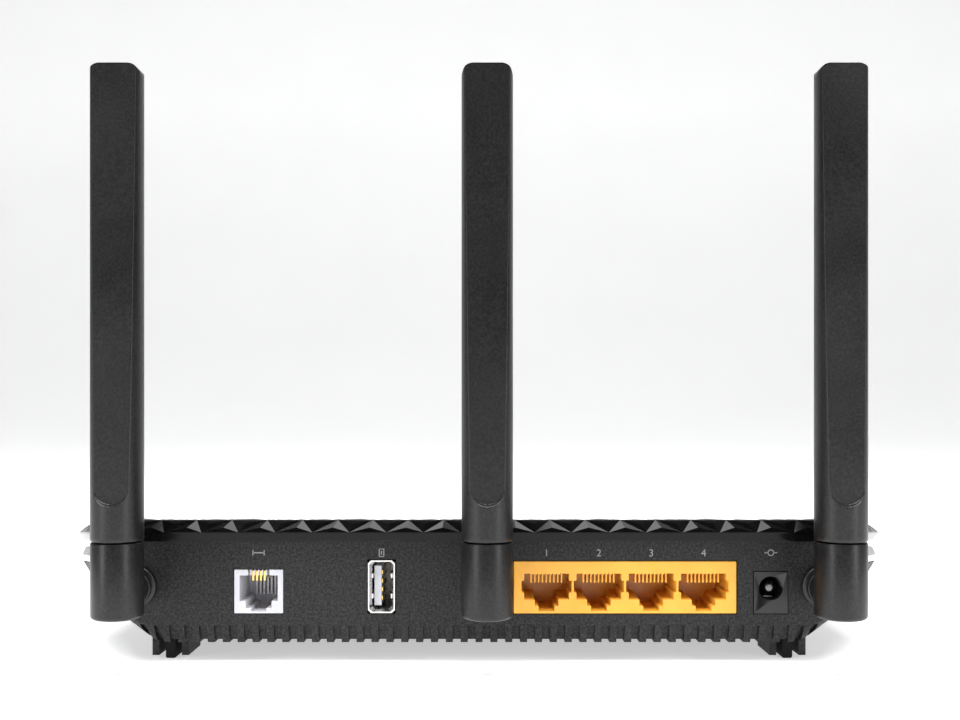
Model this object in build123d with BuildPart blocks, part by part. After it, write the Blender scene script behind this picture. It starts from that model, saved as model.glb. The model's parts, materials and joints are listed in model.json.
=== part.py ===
from build123d import *
import os
from math import atan, cos, sin, sqrt

# Wireless router: a wedge-shaped housing whose connector panel faces -Y, with three
# hinged antennas on that side. +X is to the right seen from the connector side, +Z is
# up, and the origin is under the middle of the whole object, at the level it stands on.
# "Depth" below is the distance from the outside of the rear panel towards the front.

# ---------------------------------------------------------------- housing
body_width = 230.0
body_depth = 144.0  # cover, from its rear rim to its front edge
rim_overhang = 3.0  # cover's rear rim past the rear panel
crest_height = 37.5  # top of the cover, above the rear panel
front_height = 22.0  # top of the cover at its front edge
wall = 2.2
flat_margin = 13.0  # side of the body to the end of its flat rear face
corner_reach = 24.0  # depth of the slanted rear corners
inner_corner_radius = 8.0
outer_corner_radius = 20.0
front_corner_radius = 26.0

bevel_rise = 2.45  # ridge of the cover to its top face
bevel_run = 4.6
rear_bevel_run = 2.5
rim_height = 2.4  # ridge of the cover to its lower edge
rim_tuck = 1.3
cover_wall = 2.0
rim_wall = 1.6
shadow_gap = 1.9  # open slot between the cover and the trim band
neck_inset = 4.6  # outside of the cover's skirt, in from its widest edge
skirt_wall = 1.8
skirt_end_depth = 10.0
stop_count = 4
stop_pitch = 44.0
stop_width = 1.6
stop_drop = 4.0

trim_height = 4.2
trim_ridge_drop = 2.2
trim_proud = 0.4  # ridge of the trim band past the cover's widest edge
trim_top_inset = 0.6
trim_low_inset = 0.2
trim_gap = 0.3
trim_end_depth = 2.5

waist_drop = 4.0  # tray's shoulder to its waist
waist_inset = 2.4
knee_height = 14.0  # at the rear panel
knee_front_height = 6.0
knee_inset = 6.5
knee_flat_margin = 12.0
floor_height = 5.2
floor_inset = 18.0
floor_flat_margin = 11.0
floor_corner_reach = 18.0
floor_rear_inset = 2.5
rib_pitch = 4.0
rib_depth = 0.7
rib_width = 1.9
rib_margin = 3.0
vent_width = 1.4
vent_length = 26.0
vent_rows = 2
vent_columns = 14
vent_row_pitch = 34.0
vent_depth = 66.0

foot_side_inset = 31.0
foot_rear_depth = 12.0
foot_front_inset = 24.0
foot_length = 12.0
foot_width = 2.8
foot_seat = 1.2
fin_lift = 0.9  # fins beside each foot stop above the floor

# ---------------------------------------------------------------- rear panel
panel_thickness = 2.0
panel_low_edge = 10.2
panel_side_inset = 17.0
panel_corner_radius = 12.0
panel_top_radius = 8.0
panel_top_gap = 0.7
panel_lip = 2.5  # overlap of the tray's lip behind the panel's lower edge
panel_side_lip = 0.6
lip_thickness = 2.0
part_gap = 0.15
port_gap = 0.2

# ---------------------------------------------------------------- board
board_top = 13.4
board_thickness = 1.6
board_rear_depth = 5.4
board_side_inset = 19.0
board_front_inset = 20.0
board_corner = 14.0

post_side_inset = 45.0
post_rear_depth = 26.0
post_front_inset = 40.0
post_radius = 4.6
boss_radius = 3.6
boss_root = 1.0  # how far a boss runs up into the cover's top wall
screw_radius = 1.4
screw_head_radius = 2.9
screw_head_height = 1.8
screw_head_depth = 1.2  # under side of the tray to the screw's head
screw_drive_width = 0.7
screw_drive_length = 3.4
screw_drive_depth = 0.9
screw_bite = 8.0  # thread length in the cover's bosses
screw_gap = 0.15

# ---------------------------------------------------------------- connectors
lan_pitch = 13.97
lan_count = 4
lan_width = 59.5
lan_height = 13.9
lan_length = 21.3
lan_x = 38.95
lan_cavity_width = 11.9
lan_cavity_height = 6.9
lan_cavity_floor = 3.7  # cavity floor above the board
lan_cavity_length = 14.0
latch_wide = 6.2
latch_wide_drop = 1.7
latch_narrow = 4.1
latch_narrow_drop = 3.1
key_height = 3.1
key_width = 0.7
key_floor = 1.9
lan_contact_count = 8
lan_contact_pitch = 1.02
contact_width = 0.45
contact_thickness = 0.3
contact_fall = 2.1  # how far a contact slants down into its cavity
contact_start = 1.6
contact_end = 11.5

phone_x = -58.8
phone_width = 13.1
phone_height = 11.7
phone_length = 14.0
phone_cavity_width = 10.1
phone_cavity_height = 6.8
phone_cavity_floor = 3.3
phone_cavity_length = 12.0
phone_latch_wide = 6.8
phone_latch_drop = 1.9
phone_latch_narrow = 3.9
phone_latch_narrow_drop = 2.8
phone_slot_width = 0.6
phone_contact_count = 4
phone_comb_count = 6

usb_x = -26.0
usb_lip_width = 7.15
usb_lip_height = 14.0
usb_width = 5.9
usb_height = 13.1
usb_metal = 0.35
usb_length = 17.5
usb_lip_length = 1.2
usb_corner = 0.8
tongue_thickness = 1.9
tongue_height = 10.6
tongue_start = 1.6
tongue_offset = 1.1
usb_contact_count = 4
usb_contact_pitch = 2.3
usb_contact_width = 1.0
usb_contact_lift = 0.25

power_x = 77.8
power_width = 9.0
power_height = 11.1
power_length = 14.0
power_hole_radius = 3.2
power_hole_height = 6.7  # hole's axis above the board
power_hole_length = 10.5
pin_radius = 1.25
pin_start = 1.5
power_spring_thickness = 0.4
power_spring_width = 2.4

# ---------------------------------------------------------------- board parts
processor_size = 17.0
processor_height = 1.4
processor_x = 20.0
processor_depth = 66.0
sink_width = 44.0
sink_length = 40.0
sink_base = 2.0
sink_height = 8.5
fin_count = 9
fin_thickness = 1.2
pad_height = 0.5
shield_width = 42.0
shield_length = 30.0
shield_height = 3.2
shield_sheet = 0.3
shield_places = (66.0, -50.0)
shield_gap = 1.5  # front edge of the radio shields to the front posts
memory_width = 12.0
memory_length = 8.0
memory_height = 1.1
capacitor_radius = 4.0
capacitor_height = 11.0
capacitor_x = 80.0
capacitor_depth = 32.0
capacitor_pitch = 9.0
memory_x = -10.0
magnetics_width = 15.0
magnetics_length = 7.5
magnetics_height = 5.6
magnetics_behind = 8.0  # their middle, behind the socket block
led_count = 7
led_pitch = 9.0
led_size = 1.6
led_height = 0.8
led_front_inset = 27.0
guide_gap = 0.4
guide_radius = 1.3
window_length = 64.0
window_width = 3.6
window_thickness = 1.2
window_step = 1.2
socket_radius = 1.4
socket_height = 1.3

# ---------------------------------------------------------------- side buttons
button_height = 3.4
button_axis_height = 16.0
button_gap = 0.3
button_proud = 0.8
flange_thickness = 0.8
flange_rim = 0.7
flange_setback = 3.1  # flange's outer face, in from the outside of the slanted wall
power_button_length = 9.0
power_button_depth = 40.0
power_button_travel = 1.5
wireless_button_length = 7.0
wireless_button_depth = 54.0
wireless_button_travel = 0.8
reset_radius = 1.5
reset_hole_length = 2.4
reset_hole_height = 2.0
reset_depth = 66.0
reset_travel = 0.5
stem_height = 2.0
stem_length = 3.0
switch_length = 6.0
switch_width = 5.0
switch_height = 4.6
switch_setback = 1.0  # switch body's outer face, in from the board's edge
switch_bite = 0.8

# ---------------------------------------------------------------- antennas
antenna_height = 154.4
antenna_side_inset = 23.7
middle_antenna_x = 2.07
barrel_radius = 6.5
barrel_low = 15.3
barrel_seam = 34.5
barrel_round = 1.0
seam_gap = 0.3
hub_reach = 15.0  # barrel's axis behind the rear panel
hub_height = 20.8
hub_radius = 5.5
hub_thickness = 1.6
hub_lift = 0.3
neck_radius = 4.6
shaft_radius = 3.4
running_gap = 0.05
bearing_radius = 5.4
bearing_length = 2.0
clip_thickness = 1.0
clip_radius = 5.2
groove_radius = 2.9
shaft_tail = 1.2
lead_bore = 2.3
lead_radius = 0.6
lead_bend = 4.0
lead_run = 7.0
spigot_radius = 4.0
spigot_collar = 4.5
collar_height = 1.2
collar_gap = 0.3
spigot_low = 23.2
spigot_bore = 1.8
socket_length = 11.0
flat_low = 44.3
flat_round = 4.35
flat_low_offset = 4.92  # flat face to the blade's axis, at its lower end
flat_high_offset = 3.12
blade_corner_radius = 3.0
blade_wall = 1.5
cavity_width = 9.0
cavity_depth = 3.0
element_width = 8.0
element_thickness = 0.8
element_margin = 4.0

# ---------------------------------------------------------------- derived places
slope = atan((crest_height - front_height) / body_depth)
front_reach = body_depth - rim_overhang  # depth of the cover's front edge
whole_depth = hub_reach + barrel_radius + front_reach + trim_proud
panel_y = hub_reach + barrel_radius - whole_depth / 2
front_y = panel_y + front_reach
half_width = body_width / 2

ridge_height = crest_height - bevel_rise
rim_low = ridge_height - rim_height
trim_top = rim_low - shadow_gap
trim_low = trim_top - trim_height
waist_height = trim_low - waist_drop
underside = crest_height - cover_wall
board_low = board_top - board_thickness
board_half = half_width - board_side_inset
hub_x = half_width - antenna_side_inset
antenna_places = {"left": -hub_x, "middle": middle_antenna_x, "right": hub_x}
barrel_y = panel_y - hub_reach
clip_y = panel_y + panel_thickness + bearing_length + running_gap
shaft_end = clip_y + clip_thickness + shaft_tail
posts_x = half_width - post_side_inset
post_rows = (panel_y + post_rear_depth, front_y - post_front_inset)
post_places = [(x, y) for y in post_rows for x in (-posts_x, posts_x)]
foot_x = rib_pitch * round((half_width - foot_side_inset) / rib_pitch)
foot_rows = (panel_y + foot_rear_depth, front_y - foot_front_inset)
foot_places = [(x, y) for y in foot_rows for x in (-foot_x, foot_x)]
led_y = front_y - led_front_inset
shield_depth = front_reach - post_front_inset - post_radius - shield_gap - shield_length / 2


def slope_plane(rear_height, fall=slope):
    """Plane that meets the rear panel at rear_height and falls towards the front."""
    return Plane(origin=(0, panel_y, rear_height), x_dir=(1, 0, 0), z_dir=(0, sin(fall), cos(fall)))


def slope_height(rear_height, y):
    """Height at y of the plane that meets the rear panel at rear_height."""
    return rear_height - (y - panel_y) * sin(slope) / cos(slope)


def plan(half, flat, rear, front, reach=corner_reach):
    """Plan outline: flat rear edge, slanted rear corners and rounded front corners."""
    corners = [(flat, rear), (half, rear + reach), (half, front)]
    Polygon(*corners, *[(-x, y) for x, y in reversed(corners)], align=None)
    fillet(vertices().group_by(Axis.Y)[-1], front_corner_radius)
    fillet(vertices().group_by(Axis.Y)[0], inner_corner_radius)
    fillet(vertices().group_by(Axis.Y)[2], outer_corner_radius)


def body_plan(inset, rear):
    """Plan outline of the body on a sloping plane, set in all round from its widest."""
    half = half_width - inset
    plan(half, half - flat_margin, rear, (front_reach - inset) / cos(slope))


def tray(inset, lift, rear, mode=Mode.ADD):
    """Solid of the lower shell's outer form, set in by inset and raised by lift."""
    with BuildSketch(slope_plane(trim_low)) as shoulder:
        body_plan(inset, rear)
    with BuildSketch(slope_plane(waist_height)) as waist:
        body_plan(waist_inset + inset, rear)
    with BuildSketch(slope_plane(knee_height, atan((knee_height - knee_front_height) / front_reach))) as knee:
        knee_half = half_width - knee_inset - inset
        plan(knee_half, knee_half - knee_flat_margin, rear, front_reach - knee_inset - inset)
    with BuildSketch(Plane.XY.offset(floor_height + lift)) as floor:
        floor_half = half_width - floor_inset - inset / 2
        rear_edge = panel_y + rear + floor_rear_inset
        plan(floor_half, floor_half - floor_flat_margin, rear_edge, front_y - floor_inset, floor_corner_reach)
    loft([shoulder.sketch, waist.sketch, knee.sketch, floor.sketch], ruled=True, mode=mode)


def panel_shape(half, low, high, radius):
    """Outline of the rear panel, seen from behind, with rounded lower corners."""
    Polygon((-half, low), (half, low), (half, high), (-half, high), align=None)
    fillet(vertices().group_by(Axis.Y)[0], radius)


def rear_plane(depth=0.0):
    """Vertical plane facing the rear, at a depth inside the panel's outer face."""
    return Plane(origin=(0, panel_y + depth, 0), x_dir=(1, 0, 0), z_dir=(0, -1, 0))


def board_box(x, depth, width, length, height, lift=0.0):
    """Block standing on the board, its middle at x and at a depth from the panel."""
    with BuildSketch(Plane.XY.offset(board_top + lift)) as foot:
        with Locations((x, panel_y + depth)):
            Rectangle(width, length)
    extrude(foot.sketch, amount=height)


os.makedirs("parts", exist_ok=True)


def save(piece, name):
    """Label a finished piece and write it to its own file."""
    piece.part.label = name
    export_step(piece.part, f"parts/{name}.step")


# ---------------------------------------------------------------- top cover
with BuildPart() as top_cover:
    with BuildSketch(slope_plane(rim_low)):
        body_plan(rim_tuck, rim_tuck - rim_overhang)
    with BuildSketch(slope_plane(ridge_height)):
        body_plan(0, -rim_overhang)
    loft(ruled=True)
    with BuildSketch(slope_plane(ridge_height)):
        body_plan(0, -rim_overhang)
    with BuildSketch(slope_plane(crest_height)):
        body_plan(bevel_run, rear_bevel_run - rim_overhang)
    loft(ruled=True)
    with BuildSketch(slope_plane(underside)):
        body_plan(bevel_run + cover_wall, -part_gap)
    with BuildSketch(slope_plane(rim_low)):
        body_plan(rim_tuck + rim_wall, -part_gap)
    loft(ruled=True, mode=Mode.SUBTRACT)
    # skirt inside the shadow gap, left out behind the connector panel
    skirt_height = underside - trim_low - trim_gap
    with BuildSketch(slope_plane(underside)):
        body_plan(neck_inset, -part_gap)
    extrude(amount=-skirt_height)
    with BuildSketch(slope_plane(underside)):
        body_plan(neck_inset + skirt_wall, -part_gap - skirt_wall)
    extrude(amount=-skirt_height, mode=Mode.SUBTRACT)
    with BuildSketch(Plane.XY.offset(waist_height)):
        with Locations((0, panel_y)):
            Rectangle(2 * half_width, 2 * skirt_end_depth)
    extrude(amount=slope_height(rim_low, panel_y + skirt_end_depth) - waist_height, mode=Mode.SUBTRACT)
    # stops behind the panel's upper edge
    with BuildSketch(Plane.XY.offset(underside - stop_drop)):
        with Locations((0, panel_y + panel_thickness + part_gap + stop_width)):
            with GridLocations(stop_pitch, 0, stop_count, 1):
                Rectangle(stop_width, 2 * stop_width)
    extrude(amount=stop_drop + cover_wall / 2)
    # bosses for the case screws
    for x, y in post_places:
        with BuildSketch(Plane.XY.offset(board_top)):
            with Locations((x, y)):
                Circle(boss_radius)
        extrude(amount=slope_height(underside, y) + boss_root - board_top)
        with BuildSketch(Plane.XY.offset(board_top)):
            with Locations((x, y)):
                Circle(screw_radius)
        extrude(amount=screw_bite, mode=Mode.SUBTRACT)
    # stepped slot for the status window
    led_reach = (led_y - panel_y) / cos(slope)
    with BuildSketch(slope_plane(crest_height)):
        with Locations((0, led_reach)):
            SlotOverall(window_length, window_width)
    extrude(amount=-window_thickness, mode=Mode.SUBTRACT)
    with BuildSketch(slope_plane(crest_height)):
        with Locations((0, led_reach)):
            SlotOverall(window_length - window_step, window_width - window_step)
    extrude(amount=-2 * cover_wall, mode=Mode.SUBTRACT)
save(top_cover, "top_cover")

with BuildPart() as status_window:
    with BuildSketch(slope_plane(crest_height)):
        with Locations((0, led_reach)):
            SlotOverall(window_length, window_width)
    extrude(amount=-window_thickness)
save(status_window, "status_window")

# ---------------------------------------------------------------- trim band
with BuildPart() as trim_band:
    trim_ridge = trim_top - trim_ridge_drop
    for low, low_inset, high, high_inset in (
        (trim_low, trim_low_inset, trim_ridge, -trim_proud),
        (trim_ridge, -trim_proud, trim_top, trim_top_inset),
    ):
        with BuildSketch(slope_plane(low)):
            body_plan(low_inset, 0)
        with BuildSketch(slope_plane(high)):
            body_plan(high_inset, 0)
        loft(ruled=True)
    with BuildSketch(slope_plane(trim_low)):
        body_plan(neck_inset - trim_gap, -neck_inset)
    extrude(amount=trim_height, mode=Mode.SUBTRACT)
    with BuildSketch(Plane.XY.offset(trim_low - trim_height)):
        with Locations((0, panel_y)):
            Rectangle(3 * half_width, 2 * trim_end_depth)
    extrude(amount=3 * trim_height, mode=Mode.SUBTRACT)
save(trim_band, "trim_band")

# ---------------------------------------------------------------- bottom shell
panel_half = half_width - panel_side_inset
rib_count = 2 * int((half_width - knee_inset - rib_margin) / rib_pitch)

with BuildPart() as grooves:
    with BuildSketch(Plane.XY):
        with GridLocations(rib_pitch, 0, rib_count, 1):
            Rectangle(rib_pitch - rib_width, 2 * whole_depth)
    extrude(amount=panel_low_edge)
    tray(rib_depth, rib_depth, rib_depth, mode=Mode.SUBTRACT)

screw_seat = floor_height + screw_head_depth + screw_head_height
lip_back = panel_thickness + part_gap + lip_thickness


def side_wall(depth, height):
    """Half width of the tray's outside at a depth and a height above its knee."""
    waist = slope_height(waist_height, panel_y + depth)
    if height > waist:
        return half_width - waist_inset * (1 - (height - waist) / waist_drop)
    knee = knee_height - (knee_height - knee_front_height) * depth / front_reach
    return half_width - knee_inset + (knee_inset - waist_inset) * (height - knee) / (waist - knee)


def side_plane(x):
    """Vertical plane facing +X."""
    return Plane(origin=(x, 0, 0), x_dir=(0, 1, 0), z_dir=(1, 0, 0))


def side_hole(depth, length, height, gap):
    """Rounded opening for a side button, cut through the tray's wall."""
    with BuildSketch(side_plane(board_half)) as hole:
        with Locations((panel_y + depth, button_axis_height)):
            SlotOverall(length + 2 * gap, height + 2 * gap)
    extrude(hole.sketch, amount=half_width - board_half + trim_proud, mode=Mode.SUBTRACT)


with BuildPart() as bottom_shell:
    tray(0, 0, 0)
    tray(wall, wall, lip_back, mode=Mode.SUBTRACT)
    # pocket for the rear panel, and the opening behind it
    with BuildSketch(rear_plane(-wall)):
        panel_shape(panel_half + part_gap, panel_low_edge - part_gap, crest_height, panel_corner_radius)
    extrude(amount=-(wall + panel_thickness + part_gap), mode=Mode.SUBTRACT)
    with BuildSketch(rear_plane()):
        opening_half = panel_half - panel_side_lip
        opening_radius = panel_corner_radius - lip_thickness
        panel_shape(opening_half, panel_low_edge + panel_lip, crest_height, opening_radius)
    extrude(amount=-(lip_back + wall), mode=Mode.SUBTRACT)
    # vents between the ribs
    with BuildSketch(Plane.XY):
        with Locations((0, panel_y + vent_depth)):
            with GridLocations(rib_pitch, vent_row_pitch, vent_columns, vent_rows):
                SlotOverall(vent_length, vent_width, rotation=90)
    extrude(amount=floor_height + 2 * wall, mode=Mode.SUBTRACT)
    # posts under the board, with counterbored screw holes
    for x, y in post_places:
        with BuildSketch(Plane.XY.offset(floor_height + wall / 2)):
            with Locations((x, y)):
                Circle(post_radius)
        extrude(amount=board_low - floor_height - wall / 2)
        with BuildSketch(Plane.XY):
            with Locations((x, y)):
                Circle(screw_head_radius + screw_gap)
        extrude(amount=screw_seat, mode=Mode.SUBTRACT)
        with BuildSketch(Plane.XY):
            with Locations((x, y)):
                Circle(screw_radius + screw_gap)
        extrude(amount=board_top, mode=Mode.SUBTRACT)
    # a fin each side of every foot, and the slot that the foot sits in
    for x, y in foot_places:
        with BuildSketch(Plane.XY.offset(fin_lift)):
            with Locations((x, y)):
                with GridLocations(2 * rib_pitch, 0, 2, 1):
                    Rectangle(rib_width, foot_length)
        extrude(amount=floor_height + wall / 2 - fin_lift)
        with BuildSketch(Plane.XY):
            with Locations((x, y)):
                Rectangle(foot_width, foot_length)
        extrude(amount=floor_height + foot_seat, mode=Mode.SUBTRACT)
    side_hole(power_button_depth, power_button_length, button_height, button_gap)
    side_hole(wireless_button_depth, wireless_button_length, button_height, button_gap)
    side_hole(reset_depth, reset_hole_length, reset_hole_height, 0)
    add(grooves.part, mode=Mode.SUBTRACT)
save(bottom_shell, "bottom_shell")

with BuildPart() as rubber_feet:
    with BuildSketch(Plane.XY):
        with Locations(foot_places):
            Rectangle(foot_width, foot_length)
    extrude(amount=floor_height + foot_seat)
    fillet(edges().group_by(Axis.Z)[0], foot_width / 5)
save(rubber_feet, "rubber_feet")

with BuildPart() as case_screws:
    with BuildSketch(Plane.XY.offset(screw_seat - screw_head_height)):
        with Locations(post_places):
            Circle(screw_head_radius)
    extrude(amount=screw_head_height)
    with BuildSketch(Plane.XY.offset(screw_seat)):
        with Locations(post_places):
            Circle(screw_radius)
    extrude(amount=board_top + screw_bite - screw_seat)
    with BuildSketch(Plane.XY.offset(screw_seat - screw_head_height)):
        with Locations(post_places):
            Rectangle(screw_drive_length, screw_drive_width)
            Rectangle(screw_drive_width, screw_drive_length)
    extrude(amount=screw_drive_depth, mode=Mode.SUBTRACT)
save(case_screws, "case_screws")

# ---------------------------------------------------------------- main board
with BuildPart() as main_board:
    rear_edge = panel_y + board_rear_depth
    front_edge = front_y - board_front_inset
    with BuildSketch(Plane.XY.offset(board_low)):
        with Locations((0, (rear_edge + front_edge) / 2)):
            Rectangle(2 * board_half, front_edge - rear_edge)
        chamfer(vertices().group_by(Axis.Y)[0], board_corner)
        with Locations(post_places):
            Circle(screw_radius + screw_gap, mode=Mode.SUBTRACT)
    extrude(amount=board_thickness)
save(main_board, "main_board")

# ---------------------------------------------------------------- network sockets
lan_cavity_low = board_top + lan_cavity_floor
lan_cavity_high = lan_cavity_low + lan_cavity_height

with BuildPart() as lan_socket_block:
    with BuildSketch(rear_plane()):
        with Locations((lan_x, board_top + lan_height / 2)):
            Rectangle(lan_width, lan_height)
    extrude(amount=-lan_length)
    with BuildSketch(rear_plane()):
        with Locations((lan_x, lan_cavity_low)):
            with GridLocations(lan_pitch, 0, lan_count, 1):
                Rectangle(lan_cavity_width, lan_cavity_height, align=(Align.CENTER, Align.MIN))
                Rectangle(latch_wide, 2 * latch_wide_drop)
                Rectangle(latch_narrow, 2 * latch_narrow_drop)
        with Locations((lan_x, lan_cavity_low + key_floor)):
            with GridLocations(lan_pitch, 0, lan_count, 1):
                Rectangle(lan_cavity_width + 2 * key_width, key_height, align=(Align.CENTER, Align.MIN))
    extrude(amount=-lan_cavity_length, mode=Mode.SUBTRACT)
save(lan_socket_block, "lan_socket_block")


def contact_row(x, count, pitch, roof):
    """Row of flat contacts that slant back and down from the roof of a cavity."""
    for step in range(count):
        with BuildSketch(side_plane(x + (step - (count - 1) / 2) * pitch)) as contact:
            with BuildLine():
                Polyline(
                    (panel_y + contact_start, roof + contact_thickness),
                    (panel_y + contact_start + contact_thickness, roof - contact_thickness),
                    (panel_y + contact_end, roof - contact_fall),
                )
            trace(line_width=contact_thickness)
        extrude(contact.sketch, amount=contact_width / 2, both=True)


with BuildPart() as lan_contacts:
    for socket in range(lan_count):
        socket_x = lan_x + (socket - (lan_count - 1) / 2) * lan_pitch
        contact_row(socket_x, lan_contact_count, lan_contact_pitch, lan_cavity_high)
save(lan_contacts, "lan_contacts")

# ---------------------------------------------------------------- telephone line socket
phone_low = board_top + phone_cavity_floor
phone_high = phone_low + phone_cavity_height

with BuildPart() as phone_socket:
    with BuildSketch(rear_plane()):
        with Locations((phone_x, board_top + phone_height / 2)):
            Rectangle(phone_width, phone_height)
    extrude(amount=-phone_length)
    with BuildSketch(rear_plane()):
        with Locations((phone_x, phone_low)):
            Rectangle(phone_cavity_width, phone_cavity_height, align=(Align.CENTER, Align.MIN))
            Rectangle(phone_latch_wide, 2 * phone_latch_drop)
            Rectangle(phone_latch_narrow, 2 * phone_latch_narrow_drop)
    extrude(amount=-phone_cavity_length, mode=Mode.SUBTRACT)
    with BuildSketch(rear_plane()):
        with Locations((phone_x, phone_high)):
            with GridLocations(lan_contact_pitch, 0, phone_comb_count, 1):
                Rectangle(phone_slot_width, phone_height, align=(Align.CENTER, Align.MIN))
    extrude(amount=-contact_start - contact_thickness, mode=Mode.SUBTRACT)
save(phone_socket, "phone_socket")

with BuildPart() as phone_contacts:
    contact_row(phone_x, phone_contact_count, lan_contact_pitch, phone_high)
save(phone_contacts, "phone_contacts")

# ---------------------------------------------------------------- data socket
usb_axis = board_top + usb_lip_height / 2 + port_gap


def usb_outline(width, height):
    """Upright rectangle with its corners cut off, about the data socket's axis."""
    with Locations((usb_x, usb_axis)):
        Rectangle(width, height)
    chamfer(vertices(), usb_corner)


with BuildPart() as usb_shell:
    for metal, mode in ((0, Mode.ADD), (2 * usb_metal, Mode.SUBTRACT)):
        with BuildSketch(rear_plane(usb_lip_length)):
            usb_outline(usb_width - metal, usb_height - metal)
        extrude(amount=-(usb_length - usb_lip_length), mode=mode)
        with BuildSketch(rear_plane(usb_lip_length)):
            usb_outline(usb_width - metal, usb_height - metal)
        with BuildSketch(rear_plane(-usb_metal)):
            usb_outline(usb_lip_width - metal, usb_lip_height - metal)
        loft(ruled=True, mode=mode)
save(usb_shell, "usb_shell")

with BuildPart() as usb_tongue:
    tongue_end = usb_length - tongue_thickness
    with BuildSketch(rear_plane(tongue_start)):
        with Locations((usb_x - tongue_offset, usb_axis)):
            Rectangle(tongue_thickness, tongue_height)
    extrude(amount=-(tongue_end - tongue_start))
    with BuildSketch(rear_plane(tongue_end)):
        usb_outline(usb_width - 2 * usb_metal, usb_height - 2 * usb_metal)
    extrude(amount=-tongue_thickness)
save(usb_tongue, "usb_tongue")

with BuildPart() as usb_contacts:
    contact_face = usb_x - tongue_offset + tongue_thickness / 2
    with BuildSketch(rear_plane(tongue_start + usb_contact_width)):
        with Locations((contact_face + usb_contact_lift / 2, usb_axis)):
            with GridLocations(0, usb_contact_pitch, 1, usb_contact_count):
                Rectangle(usb_contact_lift, usb_contact_width)
    extrude(amount=-(tongue_end - tongue_start - usb_contact_width))
save(usb_contacts, "usb_contacts")

# ---------------------------------------------------------------- power socket
power_axis = board_top + power_hole_height

with BuildPart() as power_socket:
    with BuildSketch(rear_plane()):
        with Locations((power_x, board_top + power_height / 2)):
            Rectangle(power_width, power_height)
    extrude(amount=-power_length)
    with BuildSketch(rear_plane()):
        with Locations((power_x, power_axis)):
            Circle(power_hole_radius)
    extrude(amount=-power_hole_length, mode=Mode.SUBTRACT)
    with BuildSketch(rear_plane()):
        with Locations((power_x, power_axis)):
            Circle(pin_radius)
    extrude(amount=-(power_hole_length + pin_start), mode=Mode.SUBTRACT)
save(power_socket, "power_socket")

with BuildPart() as power_pin:
    with BuildSketch(rear_plane(pin_start)):
        with Locations((power_x, power_axis)):
            Circle(pin_radius)
    extrude(amount=-power_hole_length)
    fillet(edges().group_by(Axis.Y)[0], pin_radius / 2)
save(power_pin, "power_pin")

with BuildPart() as power_contact:
    contact_drop = sqrt(power_hole_radius**2 - (power_spring_width / 2) ** 2) - part_gap
    with BuildSketch(rear_plane(2 * pin_start)):
        with Locations((power_x, power_axis - contact_drop)):
            Rectangle(power_spring_width, power_spring_thickness, align=(Align.CENTER, Align.MIN))
    extrude(amount=-(power_hole_length - 2 * pin_start))
save(power_contact, "power_contact")

# ---------------------------------------------------------------- rear panel
with BuildPart() as rear_panel:
    panel_high = underside - panel_top_gap
    with BuildSketch(rear_plane()):
        panel_shape(panel_half, panel_low_edge, panel_high, panel_corner_radius)
        fillet(vertices().group_by(Axis.Y)[-1], panel_top_radius)
    extrude(amount=-panel_thickness)
    with BuildSketch(rear_plane(panel_thickness)):
        with Locations(*[(x, hub_height) for x in antenna_places.values()]):
            Circle(bearing_radius)
    extrude(amount=-bearing_length)
    with BuildSketch(rear_plane()):
        with Locations(*[(x, hub_height) for x in antenna_places.values()]):
            Circle(shaft_radius + running_gap)
        for x, width, height in (
            (lan_x, lan_width, lan_height),
            (phone_x, phone_width, phone_height),
            (power_x, power_width, power_height),
        ):
            with Locations((x, board_top + height / 2)):
                Rectangle(width + 2 * port_gap, height + 2 * port_gap)
        with Locations((usb_x, usb_axis)):
            Rectangle(usb_lip_width + 2 * port_gap, usb_lip_height + 2 * port_gap)
    extrude(amount=-(panel_thickness + bearing_length), mode=Mode.SUBTRACT)
save(rear_panel, "rear_panel")

# ---------------------------------------------------------------- parts on the board
with BuildPart() as processor:
    board_box(processor_x, processor_depth, processor_size, processor_size, processor_height)
save(processor, "processor")

with BuildPart() as thermal_pad:
    board_box(processor_x, processor_depth, processor_size, processor_size, pad_height, processor_height)
save(thermal_pad, "thermal_pad")

with BuildPart() as heat_sink:
    sink_low = processor_height + pad_height
    board_box(processor_x, processor_depth, sink_width, sink_length, sink_base, sink_low)
    with BuildSketch(Plane.XY.offset(board_top + sink_low)):
        with Locations((processor_x, panel_y + processor_depth)):
            with GridLocations((sink_width - fin_thickness) / (fin_count - 1), 0, fin_count, 1):
                Rectangle(fin_thickness, sink_length)
    extrude(amount=sink_height)
save(heat_sink, "heat_sink")

with BuildPart() as memory_chips:
    for side in (-1, 1):
        memory_depth = processor_depth + side * memory_length
        board_box(memory_x, memory_depth, memory_width, memory_length, memory_height)
save(memory_chips, "memory_chips")

with BuildPart() as radio_shields:
    for x in shield_places:
        board_box(x, shield_depth, shield_width, shield_length, shield_height)
    with BuildSketch(Plane.XY.offset(board_top)):
        with Locations(*[(x, panel_y + shield_depth) for x in shield_places]):
            Rectangle(shield_width - 2 * shield_sheet, shield_length - 2 * shield_sheet)
    extrude(amount=shield_height - shield_sheet, mode=Mode.SUBTRACT)
save(radio_shields, "radio_shields")

with BuildPart() as line_transformers:
    for side in (-1, 1):
        x = lan_x + side * lan_width / 4
        board_box(x, lan_length + magnetics_behind, magnetics_width, magnetics_length, magnetics_height)
save(line_transformers, "line_transformers")

with BuildPart() as capacitors:
    with BuildSketch(Plane.XY.offset(board_top)):
        with Locations((capacitor_x, panel_y + capacitor_depth)):
            with GridLocations(0, capacitor_pitch, 1, 2):
                Circle(capacitor_radius)
    extrude(amount=capacitor_height)
save(capacitors, "capacitors")

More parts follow.
